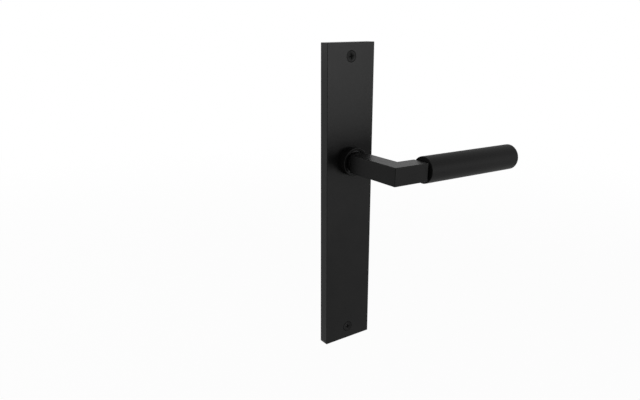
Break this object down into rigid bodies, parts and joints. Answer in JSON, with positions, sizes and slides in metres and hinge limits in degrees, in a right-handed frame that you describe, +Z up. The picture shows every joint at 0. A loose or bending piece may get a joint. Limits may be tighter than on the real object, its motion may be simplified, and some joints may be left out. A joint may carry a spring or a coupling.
{
  "type": "door lever on backplate",
  "caption": "Sprung door lever on a long flat backplate: square arm with a mitred elbow, round straight grip, collar, square spindle and fixing screws.",
  "frame": {"origin": "on the spindle's axis, in the plane of the door's face on which the backplate lies", "axes": "+Y into the door along the spindle, +Z up along the backplate's length, +X the way the lever points"},
  "size_m": [0.1493, 0.0979, 0.25],
  "materials": {
    "black_coat": "matt black powder coat on zinc alloy",
    "black_grip": "matt black powder coat on a turned bar",
    "black_screws": "black coated steel",
    "black_oxide": "black oxide steel",
    "zinc_steel": "bright zinc plated steel",
    "spring_steel": "oiled spring steel",
    "bush_plastic": "black plain bearing plastic"
  },
  "bodies": {
    "backplate": {"backplate": "black_coat", "collar_ring": "black_coat", "bearing_bush": "bush_plastic", "stop_pins": "zinc_steel", "return_spring": "spring_steel", "spring_cover": "zinc_steel", "cover_screws": "zinc_steel", "fixing_screws": "black_screws"},
    "lever": {"lever_arm": "black_coat", "grip_cylinder": "black_grip", "grip_grub_screw": "black_oxide", "spindle": "zinc_steel", "spindle_grub_screw": "black_oxide", "driver_disc": "zinc_steel", "thrust_washer": "spring_steel", "disc_spring": "spring_steel", "retaining_ring": "spring_steel"}
  },
  "joints": [
    {"name": "lever_turn", "type": "hinge", "parent": "backplate", "child": "lever", "pos_m": [0, 0, 0], "axis": [0, 1, 0], "range_deg": [0, 45], "stiffness_Nm_per_rad": 0.5, "springref_deg": -68.75, "deforming": ["return_spring"]}
  ]
}
